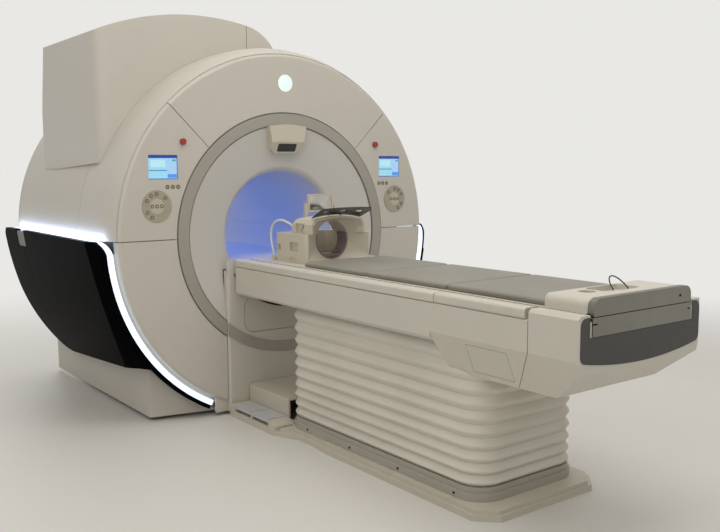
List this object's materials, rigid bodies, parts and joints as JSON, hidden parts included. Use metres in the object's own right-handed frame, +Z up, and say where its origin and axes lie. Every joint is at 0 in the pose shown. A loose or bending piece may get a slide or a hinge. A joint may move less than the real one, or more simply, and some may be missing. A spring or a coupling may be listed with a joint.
{
  "type": "mri scanner",
  "caption": "Walk-up magnetic resonance scanner: round gantry with dark side pods, lifting table on bellows, sliding cradle and head coil.",
  "frame": {"origin": "on the floor below the bore axis, in the plane of the round front face", "axes": "+Z up, +Y along the bore from the front face to the back, +X to the right of someone who faces the bore"},
  "size_m": [2.214, 3.987, 2.177],
  "materials": {
    "shell_white": "satin moulded cover",
    "bore_white": "smooth moulded liner",
    "ring_silver": "satin silver paint",
    "pod_black": "glossy black",
    "strip_light": "frosted light strip",
    "latch_grey": "satin",
    "display_face": "glossy display",
    "keypad_grey": "satin membrane keys",
    "emblem_face": "satin disc",
    "lens_black": "glossy lens",
    "base_white": "powder coat",
    "table_white": "satin moulded cover",
    "bellows_skin": "matt coated folds",
    "clamp_grey": "satin anodised",
    "screw_dark": "dark screw",
    "column_metal": "extruded",
    "plate_anthracite": "fine textured",
    "plate_metal": "brushed",
    "pad_cover": "grey coated pad cover",
    "strap_black": "matt",
    "coil_shell": "satin shell",
    "coil_lining": "dark lining",
    "cable_sheath": "smooth sheath",
    "visor_dark": "dark tinted",
    "mirror_face": "silvered",
    "stop_red": "glossy red",
    "pedal_grey": "ribbed",
    "vessel_steel": "welded stainless",
    "foot_steel": "painted",
    "coil_epoxy": "cast resin",
    "body_coil_tube": "laminate tube",
    "cold_metal": "machined"
  },
  "bodies": {
    "gantry": {"magnet_vessel": "vessel_steel", "magnet_feet": "foot_steel", "gradient_coil": "coil_epoxy", "body_coil": "body_coil_tube", "cold_head": "cold_metal", "vent_turret": "cold_metal", "bore_liner_top": "bore_white", "bore_liner_base": "bore_white", "bore_mouth": "bore_white", "trim_ring": "ring_silver", "cover_top": "shell_white", "covers_upper": "shell_white", "covers_lower": "shell_white", "dock_cover": "shell_white", "shoulders": "shell_white", "barrel_covers": "shell_white", "rear_covers": "shell_white", "rear_mouth": "bore_white", "hood": "shell_white", "hood_end": "shell_white", "pods": "pod_black", "pod_lights": "strip_light", "pod_latches": "latch_grey", "plinths": "shell_white", "displays": "display_face", "keypads": "keypad_grey", "emblem_light": "emblem_face", "sensor_housing": "coil_shell", "sensor_lens": "lens_black", "bridge": "bore_white", "dock_step": "base_white", "base_plate": "base_white", "bellows_clamp": "clamp_grey", "clamp_screws": "screw_dark", "lift_base": "column_metal", "bellows": "bellows_skin"},
    "table": {"lift_top": "column_metal", "table_frame": "table_white", "table_rails": "table_white", "foot_housing": "table_white", "foot_plate": "plate_anthracite", "end_strip": "plate_metal"},
    "mid_column": {"lift_mid": "column_metal"},
    "cradle_body": {"cradle": "table_white", "pads": "pad_cover", "cradle_block": "table_white", "cradle_end": "plate_metal", "pull_loop": "strap_black", "coil_base": "coil_shell", "coil_liner": "coil_lining", "coil_cable": "cable_sheath"},
    "coil_upper": {"coil_top": "coil_shell"},
    "visor": {"coil_visor": "visor_dark"},
    "mirror": {"mirror_frame": "coil_shell", "mirror_glass": "mirror_face"},
    "door": {"side_door": "table_white"},
    "stop_left_button": {"stop_left": "stop_red"},
    "stop_right_button": {"stop_right": "stop_red"},
    "pedal_up_lever": {"pedal_up": "pedal_grey"},
    "pedal_down_lever": {"pedal_down": "pedal_grey"}
  },
  "joints": [
    {"name": "table_lift", "type": "slide", "parent": "gantry", "child": "table", "axis": [0, 0, 1], "range_m": [-0.25, 0], "deforming": ["bellows"]},
    {"name": "mid_column_slide", "type": "slide", "parent": "gantry", "child": "mid_column", "axis": [0, 0, 1], "range_m": [-0.125, 0]},
    {"name": "cradle_slide", "type": "slide", "parent": "table", "child": "cradle_body", "axis": [0, 1, 0], "range_m": [0, 1.6]},
    {"name": "coil_lift_off", "type": "slide", "parent": "cradle_body", "child": "coil_upper", "axis": [0, 0, 1], "range_m": [0, 0.05]},
    {"name": "visor_tilt", "type": "hinge", "parent": "coil_upper", "child": "visor", "pos_m": [0, -0.462, 1.114], "axis": [-1, 0, 0], "range_deg": [0, 45]},
    {"name": "mirror_tilt", "type": "hinge", "parent": "coil_upper", "child": "mirror", "pos_m": [0, -0.33, 1.152], "axis": [1, 0, 0], "range_deg": [-30, 30]},
    {"name": "door_swing", "type": "hinge", "parent": "table", "child": "door", "pos_m": [-0.31787, -2.00056, 0.62632], "axis": [-0.3896, 0, 0.921], "range_deg": [0, 90]},
    {"name": "stop_left_press", "type": "slide", "parent": "gantry", "child": "stop_left_button", "axis": [0, 1, 0], "range_m": [0, 0.005], "stiffness_N_per_m": 600},
    {"name": "stop_right_press", "type": "slide", "parent": "gantry", "child": "stop_right_button", "axis": [0, 1, 0], "range_m": [0, 0.005], "stiffness_N_per_m": 600},
    {"name": "pedal_up_press", "type": "hinge", "parent": "gantry", "child": "pedal_up_lever", "pos_m": [-0.29, -0.155, 0.054], "axis": [0, -1, 0], "range_deg": [0, 8], "stiffness_Nm_per_rad": 40, "springref_deg": -3.44},
    {"name": "pedal_down_press", "type": "hinge", "parent": "gantry", "child": "pedal_down_lever", "pos_m": [-0.29, -0.331, 0.054], "axis": [0, -1, 0], "range_deg": [0, 8], "stiffness_Nm_per_rad": 40, "springref_deg": -3.44}
  ],
  "couplings": [
    {"joint": "mid_column_slide", "follows": "table_lift", "ratio": 0.5}
  ]
}
